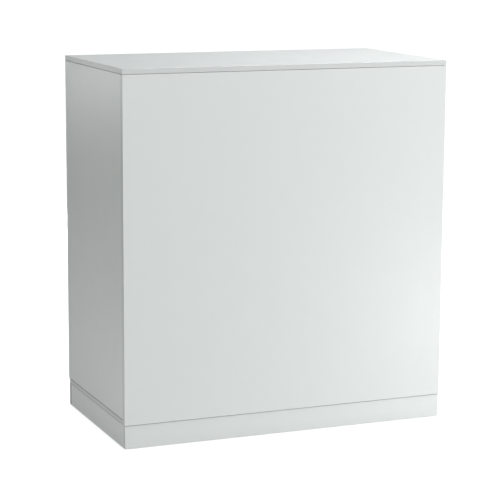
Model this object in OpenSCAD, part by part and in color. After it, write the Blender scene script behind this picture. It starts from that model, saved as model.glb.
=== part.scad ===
// Display plinth: a painted board box on a slightly recessed base, with a
// lift-off top panel, an inner batten frame and four levelling feet.
// Millimetres. +Z is up, X runs along the front and Y from front to back.
// The origin is on the floor, under the middle of the plinth.

/* [Overall] */
// Width of the plinth along its front
plinth_w = 1020; // [800:10:1400]
// Depth of the plinth from front to back
plinth_d = 550; // [440:10:800]
// Height of the plinth from the floor to the display surface
plinth_h = 1100; // [700:10:1400]

/* [Boards] */
// Thickness of the top panel
top_t = 15; // [12:0.5:25]
// Thickness of the front panel
front_t = 18; // [15:0.5:25]
// Thickness of the side and back panels
panel_t = 15; // [12:0.5:25]
// Thickness of the deck that the panels stand on
deck_t = 15; // [12:0.5:25]
// Chamfer along the edges of the painted boards
arris = 1; // [0.4:0.1:2]
// Board left whole in front of a screw tip or a dowel end
face_skin = 4; // [3:0.5:6]

/* [Joints between boards] */
// Shadow gap under the top panel, which is also the thickness of its felt pads
top_gap = 1; // [0.5:0.1:4]
// Gap between the front panel and the base
front_gap = 1; // [0.5:0.1:4]
// How far the deck's edges lie inside the faces of the panels
deck_inset = 2; // [0.5:0.5:5]
// How far the back panel's face lies inside the side panels' back edges
back_inset = 2; // [0.5:0.5:6]
// Clearance between the back panel and each side panel
back_clear = 0.5; // [0.2:0.1:1]

/* [Base] */
// Height of the base from the floor to the underside of the deck
base_h = 71; // [58:1:140]
// Thickness of the base boards
base_t = 15; // [12:0.5:25]
// How far the base lies inside the panels above it
base_inset = 1.5; // [0:0.5:5]
// Clearance between the base boards and the floor
floor_clear = 2; // [1:0.5:5]
// Width and depth of the corner blocks that hold the feet
block_w = 60; // [50:1:80]
// Clearance between the bearer under the deck and the floor
bearer_clear = 25; // [10:1:35]

/* [Batten frame] */
// Width and thickness of the square frame battens
batten = 34; // [28:0.5:45]
// Chamfer along the edges of the battens
batten_arris = 1.5; // [0.5:0.1:3]

/* [Lid battens] */
// Width of the battens under the top panel
lid_batten_w = 22; // [16:1:40]
// Depth of the battens under the top panel
lid_batten_h = 22; // [12:1:30]
// Clearance between the lid battens and the frame that they drop into
lid_clear = 1.5; // [0.5:0.5:3]
// Radius of the felt pads that carry the top panel
felt_r = 6; // [4:0.5:9]

/* [Screws and dowels] */
// Radius of the screw shanks
screw_r = 2; // [1.5:0.1:2.5]
// Radius of the countersunk screw heads
head_r = 4; // [3:0.1:5]
// Height of the straight rim round a screw head
head_rim = 0.4; // [0.2:0.1:0.6]
// Radius across the corners of the hexagon recess in a screw head
recess_r = 1.5; // [1:0.1:1.6]
// Depth of the hexagon recess in a screw head
recess_depth = 1.6; // [1:0.1:1.6]
// Length of the screw tips
tip_len = 3; // [2:0.5:5]
// Radius of the blunt end of a screw tip
tip_r = 0.3; // [0.2:0.1:0.5]
// How far a screw goes into a batten or block behind a board
screw_bite = 25; // [15:1:30]
// Upward offset of the front and back screws from the side screws in a post
screw_stagger = 30; // [15:1:60]
// Radius of the dowels between the battens
dowel_r = 4; // [3:0.5:5]
// How far a frame dowel goes into each batten
dowel_bite = 16; // [10:1:20]
// Radius of the dowels in the boards
board_dowel_r = 3; // [2:0.5:4]
// How far a board dowel goes into the end of a board
end_bite = 20; // [12:1:30]
// Bevel at the ends of a dowel
dowel_ease = 0.8; // [0.4:0.1:1]
// Clearance round a screw or a dowel in its hole
hole_clear = 0.05; // [0.02:0.01:0.2]

/* [Feet] */
// Radius of the sole of each foot
foot_r = 19; // [14:1:24]
// Height of the foot pad
pad_h = 10; // [9:0.5:14]
// Height of the straight rim round the foot pad
pad_rim = 3; // [2:0.5:4]
// Bevel along the edges of the foot pad
pad_ease = 1; // [0.5:0.1:1]
// Wall of the foot pad round the ball, at its widest
boss_wall = 4; // [3:0.5:5]
// Radius of the ball on the stud, which sits in the pad
ball_r = 5; // [4:0.5:6]
// Height of the neck between the foot pad and the stud's collar
neck_h = 2; // [1:0.5:4]
// Radius of the threaded stud
stud_r = 4; // [3:0.5:6]
// Bevel at the top of the threaded stud
stud_ease = 1; // [0.5:0.1:1.5]
// Clearance round the stud above the insert, on the radius
bore_clear = 0.5; // [0.3:0.1:1]
// How far the stud's bore goes on above the stud
bore_over = 2; // [1:0.5:5]
// Radius across the corners of the hexagon collar on the stud
collar_r = 7.5; // [6:0.5:10]
// Height of the hexagon collar
collar_h = 6; // [4:0.5:8]
// Length of the threaded insert inside the block
insert_len = 15; // [10:1:20]
// Wall of the threaded insert
insert_wall = 2; // [1.5:0.5:3]
// Thickness of the insert's flange
flange_t = 1.7; // [1:0.1:3]
// How far the insert's flange stands out past its barrel
flange_lip = 4; // [2:0.5:6]
// Running clearance of the ball and of the stud, on the radius
run_clear = 0.05; // [0.02:0.01:0.1]
// Space between the stud's collar and the insert at the top of its travel
collar_gap = 0.3; // [0.1:0.1:1]
// Space kept between the top of the stud and the deck
stud_headroom = 9; // [6:1:15]

/* [Hidden] */
$fn = 48;
// How far a cut runs past the face that it opens in, and a solid into its neighbour
past = 1;
// How far a screw hole runs past the flat of its head
head_past = 0.2;
// Depth below which a fastener only grazes a board and needs no hole in it
graze = 0.2;
// Shares of the ball's radius: the neck, the pad's mouth, and how deep the ball lies
neck_share = 0.72;
mouth_share = 0.84;
sunk_share = 0.6;
// How far the foot pad's shoulder runs in and rises above its rim
shoulder_run = 2;
shoulder_rise = 1.5;

paint = [0.86, 0.88, 0.87];
pine = [0.85, 0.72, 0.52];
beech = [0.78, 0.62, 0.42];
zinc = [0.72, 0.73, 0.74];
felt = [0.25, 0.25, 0.26];
nylon = [0.14, 0.14, 0.15];

// Sides of the plinth, as signs along X and Y
LEFT = -1;
RIGHT = 1;
FRONT = -1;
BACK = 1;
SIGNS = [-1, 1];

// Heights
z_lid = plinth_h - top_t;
z_body = z_lid - top_gap;
z_deck = base_h + deck_t;
z_rails = [z_deck, (z_deck + z_body - batten) / 2, z_body - batten];
z_lid_batten = z_lid - lid_batten_h;

// Faces of the panels, the frame and the base
half_w = plinth_w / 2;
half_d = plinth_d / 2;
x_panel_in = half_w - panel_t;
x_frame_in = x_panel_in - batten;
y_front_in = front_t - half_d;
y_back_in = half_d - back_inset - panel_t;
y_frame_front = y_front_in + batten;
y_frame_back = y_back_in - batten;
x_base_in = half_w - base_inset - base_t;
y_base_in = half_d - base_inset - base_t;

function y_frame_in(sy) = sy == FRONT ? y_frame_front : y_frame_back;
function y_batten(sy) = y_frame_in(sy) + sy * batten / 2;
x_batten = x_panel_in - batten / 2;

// Feet
foot_x = x_base_in - block_w / 2;
foot_y = y_base_in - block_w / 2;
neck_r = neck_share * ball_r;
mouth_r = mouth_share * ball_r;
ball_z = pad_h - sunk_share * ball_r;
boss_r = ball_r + boss_wall;
collar_z = pad_h + neck_h;
z_flange = collar_z + collar_h + collar_gap;
z_block = z_flange + flange_t;
insert_r = stud_r + insert_wall;
flange_r = insert_r + flange_lip;
z_stud = base_h - stud_headroom;

// A fastener is [start, direction, length, radius]. A screw starts at the flat
// of its head and a dowel at either end.
function end_of(f) = f[0] + f[1] * f[2];
function low_of(f, i) =
    min(f[0][i], end_of(f)[i]) - (1 - abs(f[1][i])) * f[3];
function high_of(f, i) =
    max(f[0][i], end_of(f)[i]) + (1 - abs(f[1][i])) * f[3];
function crosses(f, lo, hi) =
    min([for (i = [0:2]) min(hi[i], high_of(f, i)) - max(lo[i], low_of(f, i))]) > graze;
function screw(start, way, len) = [start, way, len, head_r];

// Screws from the posts and the side rails into the side panels
side_len = batten + panel_t - face_skin;
post_spans = [for (i = [0:1]) [z_rails[i] + batten, z_rails[i + 1]]];
post_screw_z = [for (s = post_spans, k = [1:2]) s[0] + (s[1] - s[0]) * k / 3];
side_screws = [
    for (sx = SIGNS, sy = SIGNS, z = post_screw_z)
        screw([sx * x_frame_in, y_batten(sy), z], [sx, 0, 0], side_len),
    for (sx = SIGNS, sy = SIGNS, z = z_rails)
        screw([sx * x_frame_in, sy * plinth_d / 6, z + batten / 2], [sx, 0, 0], side_len)
];

// Screws from the posts and the long rails into the front or the back panel
function face_screws(sy, len) = [
    for (sx = SIGNS, z = post_screw_z)
        screw([sx * x_batten, y_frame_in(sy), z + screw_stagger], [0, sy, 0], len),
    for (sx = SIGNS, z = z_rails)
        screw([sx * plinth_w / 5, y_frame_in(sy), z + batten / 2], [0, sy, 0], len)
];
front_screws = face_screws(FRONT, batten + front_t - face_skin);
back_screws = face_screws(BACK, batten + panel_t - face_skin);

// Screws up through the deck into the bottom rails
bottom_screws = [
    for (sx = SIGNS, sy = SIGNS)
        screw([sx * plinth_w / 4, y_batten(sy), base_h], [0, 0, 1], deck_t + screw_bite),
    for (sx = SIGNS, sy = SIGNS)
        screw([sx * x_batten, sy * plinth_d / 8, base_h], [0, 0, 1], deck_t + screw_bite)
];

// Screws down through the deck into the corner blocks and the bearer
x_block_screw = (x_base_in - block_w + x_frame_in) / 2;
function y_block_screw(sy) = (sy * (y_base_in - block_w) + y_frame_in(sy)) / 2;
down_screws = [
    for (sx = SIGNS, sy = SIGNS)
        screw([sx * x_block_screw, y_block_screw(sy), z_deck], [0, 0, -1], deck_t + screw_bite),
    for (sy = SIGNS)
        screw([0, sy * plinth_d / 5, z_deck], [0, 0, -1], deck_t + screw_bite)
];

// Lid battens, placed by their middles along X, and the screws through them
lid_batten_x = x_frame_in - lid_clear - lid_batten_w / 2;
lid_batten_mid_x = batten / 2 + lid_clear + lid_batten_w / 2;
y_lid_front = y_frame_front + lid_clear;
y_lid_back = y_frame_back - lid_clear;
lid_screw_y = [for (k = [1, 3, 5]) y_lid_front + (y_lid_back - y_lid_front) * k / 6];
lid_fixings = [
    for (sx = SIGNS, x = [lid_batten_mid_x, lid_batten_x], y = lid_screw_y)
        screw([sx * x, y, z_lid_batten], [0, 0, 1], lid_batten_h + top_t - face_skin)
];

// Dowels between battens. The long rails' dowels lie higher than the side
// rails' dowels, so that they pass each other inside a post.
function joint_dowel(at, way) = [at - way * dowel_bite, way, 2 * dowel_bite, dowel_r];
frame_pegs = [
    for (z = z_rails, sx = SIGNS, sy = SIGNS)
        joint_dowel([sx * x_frame_in, y_batten(sy), z + batten * 3 / 4], [sx, 0, 0]),
    for (z = z_rails, sx = SIGNS, sy = SIGNS)
        joint_dowel([sx * x_batten, y_frame_in(sy), z + batten / 4], [0, sy, 0]),
    for (sy = SIGNS)
        joint_dowel([0, y_frame_in(sy), z_rails[2] + batten / 4], [0, sy, 0])
];

// Dowels between the deck and the side panels
side_run = half_d - y_front_in;
deck_pegs = [
    for (sx = SIGNS, k = [1, 3, 5, 7])
        [[sx * (half_w - panel_t / 2), y_front_in + side_run * k / 8, base_h + face_skin],
            [0, 0, 1], deck_t - face_skin + end_bite, board_dowel_r]
];

// Dowels from the front and back base boards into the side boards and bearer
base_mid_z = (floor_clear + base_h) / 2;
bearer_mid_z = (bearer_clear + base_h) / 2;
function base_peg(x, sy, z) =
    [[x, sy * (y_base_in + base_t - face_skin), z], [0, -sy, 0],
        base_t - face_skin + end_bite, board_dowel_r];
base_pegs = [
    for (sx = SIGNS, sy = SIGNS, k = SIGNS)
        base_peg(sx * (x_base_in + base_t / 2), sy, base_mid_z + k * (base_h - floor_clear) / 5),
    for (sx = SIGNS, sy = SIGNS) base_peg(sx * batten / 4, sy, bearer_mid_z)
];

SCREWS = concat(side_screws, front_screws, back_screws, bottom_screws, down_screws, lid_fixings);
DOWELS = concat(frame_pegs, deck_pegs, base_pegs);

// Turns something that points down so that it points along way
module pointed(way) {
    turn = way.x != 0 ? [0, -90 * way.x, 0] : way.y != 0 ? [90 * way.y, 0, 0] : [way.z > 0 ? 180 : 0, 0, 0];
    rotate(turn) children();
}

module chamfered_rect(w, h, c) {
    polygon([[c, 0], [w - c, 0], [w, c], [w, h - c], [w - c, h], [c, h], [0, h - c], [0, c]]);
}

// A painted board between two corners, chamfered along all its edges
module board(lo, hi) {
    s = hi - lo;
    translate(lo) intersection() {
        linear_extrude(s.z) chamfered_rect(s.x, s.y, arris);
        translate([0, s.y, 0]) rotate([90, 0, 0]) linear_extrude(s.y) chamfered_rect(s.x, s.z, arris);
        rotate([90, 0, 90]) linear_extrude(s.x) chamfered_rect(s.y, s.z, arris);
    }
}

// A batten between two corners, chamfered along its length and cut square
module stick(lo, hi, along) {
    s = hi - lo;
    translate(lo) {
        if (along == "x") rotate([90, 0, 90]) linear_extrude(s.x) chamfered_rect(s.y, s.z, batten_arris);
        if (along == "y") translate([0, s.y, 0])
            rotate([90, 0, 0]) linear_extrude(s.y) chamfered_rect(s.x, s.z, batten_arris);
        if (along == "z") linear_extrude(s.z) chamfered_rect(s.x, s.y, batten_arris);
    }
}

// Cuts the holes of every fastener that passes through the box lo to hi
module drilled(lo, hi) {
    difference() {
        children();
        for (f = SCREWS) if (crosses(f, lo, hi)) translate(f[0]) pointed(f[1]) screw_hole(f[2]);
        for (f = DOWELS) if (crosses(f, lo, hi)) translate(f[0]) pointed(f[1]) dowel_hole(f[2], f[3]);
    }
}

module painted(lo, hi) {
    color(paint) drilled(lo, hi) board(lo, hi);
}

module timber(lo, hi, along) {
    color(pine) drilled(lo, hi) stick(lo, hi, along);
}

// A countersunk wood screw: the flat of the head is at the origin, tip down
module wood_screw(len) {
    difference() {
        rotate_extrude() polygon([
            [0, 0], [head_r, 0], [head_r, -head_rim], [screw_r, screw_r - head_r - head_rim],
            [screw_r, tip_len - len], [tip_r, -len], [0, -len]
        ]);
        translate([0, 0, -recess_depth]) cylinder(r = recess_r, h = recess_depth + past, $fn = 6);
    }
}

module screw_hole(len) {
    wide = head_r + hole_clear;
    slim = screw_r + hole_clear;
    rotate_extrude() polygon([
        [0, head_past], [wide, head_past], [wide, -head_rim], [slim, screw_r - head_r - head_rim],
        [slim, -len - hole_clear], [0, -len - hole_clear]
    ]);
}

// A dowel with eased ends, from the origin down
module dowel(len, r) {
    rotate_extrude() polygon([
        [0, 0], [r - dowel_ease, 0], [r, -dowel_ease],
        [r, dowel_ease - len], [r - dowel_ease, -len], [0, -len]
    ]);
}

module dowel_hole(len, r) {
    translate([0, 0, -len - hole_clear]) cylinder(r = r + hole_clear, h = len + 2 * hole_clear);
}

module all_screws(list) {
    color(zinc) for (f = list) translate(f[0]) pointed(f[1]) wood_screw(f[2]);
}

module all_dowels(list) {
    color(beech) for (f = list) translate(f[0]) pointed(f[1]) dowel(f[2], f[3]);
}

// Lid
module top_panel() {
    painted([-half_w, -half_d, z_lid], [half_w, half_d, plinth_h]);
}

module lid_batten(x) {
    timber([x - lid_batten_w / 2, y_lid_front, z_lid_batten], [x + lid_batten_w / 2, y_lid_back, z_lid], "y");
}

module felt_pads() {
    color(felt) for (x = [-x_batten, 0, x_batten], sy = SIGNS)
        translate([x, y_batten(sy), z_body]) cylinder(r = felt_r, h = top_gap);
}

// Box
module front_panel() {
    painted([-half_w, -half_d, base_h + front_gap], [half_w, y_front_in, z_body]);
}

module back_panel() {
    x = x_panel_in - back_clear;
    painted([-x, y_back_in, z_deck], [x, y_back_in + panel_t, z_body]);
}

module side_panel(sx) {
    x = sx == LEFT ? -half_w : x_panel_in;
    painted([x, y_front_in, z_deck], [x + panel_t, half_d, z_body]);
}

module deck() {
    x = half_w - deck_inset;
    painted([-x, y_front_in, base_h], [x, half_d - deck_inset, z_deck]);
}

// Batten frame
module post(sx, sy) {
    x = sx == LEFT ? -x_panel_in : x_frame_in;
    y = sy == FRONT ? y_front_in : y_frame_back;
    timber([x, y, z_deck], [x + batten, y + batten, z_body], "z");
}

module long_rail(sy, z) {
    y = sy == FRONT ? y_front_in : y_frame_back;
    timber([-x_frame_in, y, z], [x_frame_in, y + batten, z + batten], "x");
}

module cross_rail(x, z) {
    timber([x - batten / 2, y_frame_front, z], [x + batten / 2, y_frame_back, z + batten], "y");
}

// Base
module base_long_board(sy) {
    x = half_w - base_inset;
    y = sy == FRONT ? -y_base_in - base_t : y_base_in;
    painted([-x, y, floor_clear], [x, y + base_t, base_h]);
}

module base_side_board(sx) {
    x = sx == LEFT ? -x_base_in - base_t : x_base_in;
    painted([x, -y_base_in, floor_clear], [x + base_t, y_base_in, base_h]);
}

module base_bearer() {
    timber([-batten / 2, -y_base_in, bearer_clear], [batten / 2, y_base_in, base_h], "y");
}

module corner_block(sx, sy) {
    x = sx == LEFT ? -x_base_in : x_base_in - block_w;
    y = sy == FRONT ? -y_base_in : y_base_in - block_w;
    lo = [x, y, z_block];
    hi = lo + [block_w, block_w, base_h - z_block];
    color(pine) difference() {
        drilled(lo, hi) stick(lo, hi, "z");
        translate([sx * foot_x, sy * foot_y, z_block - past])
            cylinder(r = insert_r + hole_clear, h = past + insert_len + hole_clear);
        translate([sx * foot_x, sy * foot_y, z_block])
            cylinder(r = stud_r + bore_clear, h = z_stud + bore_over - z_block);
    }
}

// Feet
module foot_insert() {
    difference() {
        union() {
            translate([0, 0, z_flange]) cylinder(r = flange_r, h = flange_t);
            translate([0, 0, z_flange]) cylinder(r = insert_r, h = flange_t + insert_len);
        }
        translate([0, 0, z_flange - past])
            cylinder(r = stud_r + run_clear, h = flange_t + insert_len + 2 * past);
    }
}

module foot_inserts() {
    color(zinc) for (sx = SIGNS, sy = SIGNS) translate([sx * foot_x, sy * foot_y, 0]) foot_insert();
}

module foot_pad(sx, sy) {
    color(nylon) translate([sx * foot_x, sy * foot_y, 0]) difference() {
        rotate_extrude() polygon([
            [0, 0], [foot_r - pad_ease, 0], [foot_r, pad_ease], [foot_r, pad_rim],
            [foot_r - shoulder_run, pad_rim + shoulder_rise],
            [boss_r, pad_h - pad_ease], [boss_r - pad_ease, pad_h], [0, pad_h]
        ]);
        translate([0, 0, ball_z]) sphere(r = ball_r + run_clear);
        translate([0, 0, ball_z]) cylinder(r = mouth_r, h = pad_h);
    }
}

module foot_stud(sx, sy) {
    color(zinc) translate([sx * foot_x, sy * foot_y, 0]) {
        translate([0, 0, ball_z]) sphere(r = ball_r);
        translate([0, 0, ball_z]) cylinder(r = neck_r, h = collar_z - ball_z + past);
        translate([0, 0, collar_z]) cylinder(r = collar_r, h = collar_h, $fn = 6);
        rotate_extrude() polygon([
            [0, collar_z + past], [stud_r, collar_z + past],
            [stud_r, z_stud - stud_ease], [stud_r - stud_ease, z_stud], [0, z_stud]
        ]);
    }
}

top_panel();
lid_batten(-lid_batten_x);  // lid_batten_left
lid_batten(-lid_batten_mid_x);  // lid_batten_mid_left
lid_batten(lid_batten_mid_x);  // lid_batten_mid_right
lid_batten(lid_batten_x);  // lid_batten_right
all_screws(lid_fixings);  // lid_screws
felt_pads();
front_panel();
back_panel();
side_panel(LEFT);  // side_panel_left
side_panel(RIGHT);  // side_panel_right
deck();
post(LEFT, FRONT);  // post_front_left
post(RIGHT, FRONT);  // post_front_right
post(LEFT, BACK);  // post_back_left
post(RIGHT, BACK);  // post_back_right
long_rail(FRONT, z_rails[2]);  // top_rail_front
long_rail(BACK, z_rails[2]);  // top_rail_back
cross_rail(-x_batten, z_rails[2]);  // top_rail_left
cross_rail(x_batten, z_rails[2]);  // top_rail_right
cross_rail(0, z_rails[2]);  // top_rail_middle
long_rail(FRONT, z_rails[1]);  // mid_rail_front
long_rail(BACK, z_rails[1]);  // mid_rail_back
cross_rail(-x_batten, z_rails[1]);  // mid_rail_left
cross_rail(x_batten, z_rails[1]);  // mid_rail_right
long_rail(FRONT, z_rails[0]);  // bottom_rail_front
long_rail(BACK, z_rails[0]);  // bottom_rail_back
cross_rail(-x_batten, z_rails[0]);  // bottom_rail_left
cross_rail(x_batten, z_rails[0]);  // bottom_rail_right
base_long_board(FRONT);  // base_board_front
base_long_board(BACK);  // base_board_back
base_side_board(LEFT);  // base_board_left
base_side_board(RIGHT);  // base_board_right
base_bearer();
corner_block(LEFT, FRONT);  // corner_block_front_left
corner_block(RIGHT, FRONT);  // corner_block_front_right
corner_block(LEFT, BACK);  // corner_block_back_left
corner_block(RIGHT, BACK);  // corner_block_back_right
all_screws(side_screws);  // side_panel_screws
all_screws(front_screws);  // front_panel_screws
all_screws(back_screws);  // back_panel_screws
all_screws(bottom_screws);  // rail_screws
all_screws(down_screws);  // base_screws
all_dowels(frame_pegs);  // frame_dowels
all_dowels(deck_pegs);  // deck_dowels
all_dowels(base_pegs);  // base_dowels
foot_inserts();
foot_pad(LEFT, FRONT);  // foot_pad_front_left
foot_pad(RIGHT, FRONT);  // foot_pad_front_right
foot_pad(LEFT, BACK);  // foot_pad_back_left
foot_pad(RIGHT, BACK);  // foot_pad_back_right
foot_stud(LEFT, FRONT);  // foot_stud_front_left
foot_stud(RIGHT, FRONT);  // foot_stud_front_right
foot_stud(LEFT, BACK);  // foot_stud_back_left
foot_stud(RIGHT, BACK);  // foot_stud_back_right
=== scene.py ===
"""The looks of a display plinth: painted boards on a recessed base, under a lift-off top.

Metres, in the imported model's frame: +Z is up, the front faces -Y, and the origin is on the
floor under the middle of the plinth.
"""

import logging
import math
import random
from collections.abc import Callable
from dataclasses import dataclass
from enum import Enum
from functools import cached_property

import bmesh
import bpy
from mathutils import Euler, Matrix, Vector


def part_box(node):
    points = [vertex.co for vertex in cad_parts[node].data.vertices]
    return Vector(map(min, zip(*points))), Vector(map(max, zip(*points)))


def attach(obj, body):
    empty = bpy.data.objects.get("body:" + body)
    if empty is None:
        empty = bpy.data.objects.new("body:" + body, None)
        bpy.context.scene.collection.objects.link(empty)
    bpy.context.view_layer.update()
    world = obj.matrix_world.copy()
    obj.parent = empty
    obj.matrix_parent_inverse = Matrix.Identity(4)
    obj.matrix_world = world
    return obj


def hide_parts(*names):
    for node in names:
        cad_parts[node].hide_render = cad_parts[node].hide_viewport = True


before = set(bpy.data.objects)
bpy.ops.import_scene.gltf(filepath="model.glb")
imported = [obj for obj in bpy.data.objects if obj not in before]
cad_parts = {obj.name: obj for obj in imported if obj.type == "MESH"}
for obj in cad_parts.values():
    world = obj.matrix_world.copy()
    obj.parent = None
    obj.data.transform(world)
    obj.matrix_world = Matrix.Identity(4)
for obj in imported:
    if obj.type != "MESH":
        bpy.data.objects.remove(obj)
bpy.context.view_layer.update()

LOG = logging.getLogger("plinth")
MM = 0.001
NO_CEILING = 10.0
CORNERS = tuple(f"{end}_{side}" for end in ("front", "back") for side in ("left", "right"))

Socket = bpy.types.NodeSocket
Node = bpy.types.Node
Tree = bpy.types.NodeTree
Material = bpy.types.Material
Object3D = bpy.types.Object
Colour = tuple[float, float, float]
Profile = list[tuple[float, float]]
Shaper = Callable[[float, float, float], tuple[float, float]]


class Facing(Enum):
    """Where the bare inner side of a board faces."""

    LEFT = (-1.0, 0.0, 0.0)
    RIGHT = (1.0, 0.0, 0.0)
    FRONT = (0.0, -1.0, 0.0)
    BACK = (0.0, 1.0, 0.0)
    DOWN = (0.0, 0.0, -1.0)
    UP = (0.0, 0.0, 1.0)


class Grain(Enum):
    """Which way the grain of a batten runs, or the way across a seam."""

    ALONG_X = (1.0, 0.0, 0.0)
    ALONG_Y = (0.0, 1.0, 0.0)
    ALONG_Z = (0.0, 0.0, 1.0)


class Slot(Enum):
    """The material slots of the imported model."""

    PAINT = "painted_board"
    PINE = "pine"
    BEECH = "beech"
    ZINC = "zinc_steel"
    FELT = "felt"
    NYLON = "nylon"


class SocketKind(Enum):
    """Kinds of socket on a shader node group."""

    NUMBER = "NodeSocketFloat"
    VECTOR = "NodeSocketVector"


def opaque(colour: Colour) -> tuple[float, float, float, float]:
    """Return a colour with full opacity."""
    return (*colour, 1.0)


# ---------------------------------------------------------------- shader wiring


@dataclass(frozen=True)
class Plug:
    """One named input or output of a shader node group."""

    name: str
    kind: SocketKind = SocketKind.NUMBER
    value: float | None = None


class Wiring:
    """Lays out and links the nodes of one shader tree."""

    def __init__(self, tree: Tree) -> None:
        """Work on the node tree of a material, a group or a world."""
        self.tree = tree

    def node(self, kind: str, **settings: object) -> Node:
        """Add a node.

        Args:
            kind: The node's type, without the word ShaderNode.
            **settings: Properties to set on the node.

        Returns:
            The new node.
        """
        made = self.tree.nodes.new("ShaderNode" + kind)
        for key, value in settings.items():
            setattr(made, key, value)
        return made

    def feed(self, target: Socket, source: object) -> None:
        """Link a socket to a target, or set a plain value on it.

        Args:
            target: The input to feed.
            source: Another node's output, or a value.
        """
        if isinstance(source, Socket):
            self.tree.links.new(source, target)
        else:
            target.default_value = source

    def maths(self, operation: str, *terms: object, clamp: bool = False) -> Socket:
        """Add a Math node.

        Args:
            operation: The node's operation, such as MULTIPLY.
            *terms: Its inputs, as sockets or numbers.
            clamp: Whether the result is held between 0 and 1.

        Returns:
            The result.
        """
        made = self.node("Math", operation=operation, use_clamp=clamp)
        for socket, term in zip(made.inputs, terms):
            self.feed(socket, term)
        return made.outputs[0]

    def vector(self, operation: str, *terms: object) -> Node:
        """Add a Vector Math node.

        Args:
            operation: The node's operation, such as DOT_PRODUCT.
            *terms: Its first inputs, as sockets or vectors.

        Returns:
            The node, which holds Vector and Value outputs.
        """
        made = self.node("VectorMath", operation=operation)
        for socket, term in zip(made.inputs, terms):
            self.feed(socket, term)
        return made

    def stretched(self, vector: object, by: tuple[float, float, float]) -> Socket:
        """Return a vector with each of its parts scaled on its own."""
        return self.vector("MULTIPLY", vector, by).outputs["Vector"]

    def scaled(self, vector: object, by: object) -> Socket:
        """Make a vector longer or shorter as a whole.

        Args:
            vector: The vector.
            by: How many times its length it gets.

        Returns:
            The new vector.
        """
        made = self.vector("SCALE", vector)
        self.feed(made.inputs["Scale"], by)
        return made.outputs["Vector"]

    def joined(self, operation: str, first: object, second: object) -> Socket:
        """Return the vector that ADD or SUBTRACT makes of two vectors."""
        return self.vector(operation, first, second).outputs["Vector"]

    def dot(self, first: object, second: object) -> Socket:
        """Return how far one vector reaches along another."""
        return self.vector("DOT_PRODUCT", first, second).outputs["Value"]

    def height_of(self, place: object) -> Socket:
        """Read how high a place lies.

        Args:
            place: The place.

        Returns:
            Its height.
        """
        split = self.node("SeparateXYZ")
        self.feed(split.inputs[0], place)
        return split.outputs["Z"]

    def normal(self) -> Socket:
        """Return the way that the surface faces."""
        return self.node("NewGeometry").outputs["Normal"]

    def left_by(self, mask: object) -> Socket:
        """Return what a mask leaves uncovered."""
        return self.maths("SUBTRACT", 1.0, mask)

    def eased(self, value: object, low: object, high: object) -> Socket:
        """Turn a value into a mask that rises smoothly from 0 at low to 1 at high.

        Args:
            value: The value to read.
            low: Where the mask is 0.
            high: Where the mask is 1.

        Returns:
            The mask.
        """
        made = self.node("MapRange", interpolation_type="SMOOTHSTEP")
        self.feed(made.inputs["Value"], value)
        self.feed(made.inputs["From Min"], low)
        self.feed(made.inputs["From Max"], high)
        return made.outputs["Result"]

    def spread(self, value: object, low: float, high: float) -> Socket:
        """Turn a mask from 0 to 1 into a value from low to high.

        Args:
            value: The mask to read.
            low: The result where the mask is 0.
            high: The result where the mask is 1.

        Returns:
            The value.
        """
        made = self.node("MapRange")
        self.feed(made.inputs["Value"], value)
        made.inputs["To Min"].default_value = low
        made.inputs["To Max"].default_value = high
        return made.outputs["Result"]

    def noise(
        self, vector: object, scale: object, detail: float = 2.0, rough: float = 0.5, warp: float = 0.0
    ) -> Socket:
        """Add a noise pattern.

        Args:
            vector: Where to read the pattern.
            scale: Cells in a metre.
            detail: Number of finer layers.
            rough: Strength of the finer layers.
            warp: How far the pattern is bent.

        Returns:
            The pattern, from 0 to 1.
        """
        made = self.node("TexNoise")
        self.feed(made.inputs["Vector"], vector)
        self.feed(made.inputs["Scale"], scale)
        made.inputs["Detail"].default_value = detail
        made.inputs["Roughness"].default_value = rough
        made.inputs["Distortion"].default_value = warp
        return made.outputs[0]

    def cells(self, vector: object, scale: object) -> Node:
        """Add a Voronoi pattern of nearest points.

        Args:
            vector: Where to read the pattern.
            scale: Cells in a metre.

        Returns:
            The node, which holds Distance, Color and Position outputs.
        """
        made = self.node("TexVoronoi", feature="F1")
        self.feed(made.inputs["Vector"], vector)
        self.feed(made.inputs["Scale"], scale)
        return made

    def blended(self, share: object, first: object, second: object) -> Socket:
        """Blend two colours.

        Args:
            share: How much of the second colour shows.
            first: A colour, as a socket or three numbers.
            second: The other colour.

        Returns:
            The blended colour.
        """
        made = self.node("Mix", data_type="RGBA")
        factor, side_a, side_b = made.inputs[0], made.inputs[6], made.inputs[7]
        self.feed(factor, share)
        for socket, colour in ((side_a, first), (side_b, second)):
            self.feed(socket, colour if isinstance(colour, Socket) else opaque(colour))
        return made.outputs[2]

    def seen_as(self, seen: object, lighting: object) -> Socket:
        """Make a shader that the camera sees one way and all other rays another way.

        Args:
            seen: The shader for the camera.
            lighting: The shader for all other rays.

        Returns:
            The shader that holds both.
        """
        made = self.node("MixShader")
        self.feed(made.inputs[0], self.node("LightPath").outputs["Is Camera Ray"])
        self.feed(made.inputs[1], lighting)
        self.feed(made.inputs[2], seen)
        return made.outputs[0]

    def group(self, tree: Tree, **values: object) -> Node:
        """Place a shared group.

        Args:
            tree: The group's node tree.
            **values: Its inputs, with _ for a space in a name.

        Returns:
            The group's node.
        """
        made = self.node("Group", node_tree=tree)
        for key, value in values.items():
            self.feed(made.inputs[key.replace("_", " ")], value)
        return made


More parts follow.
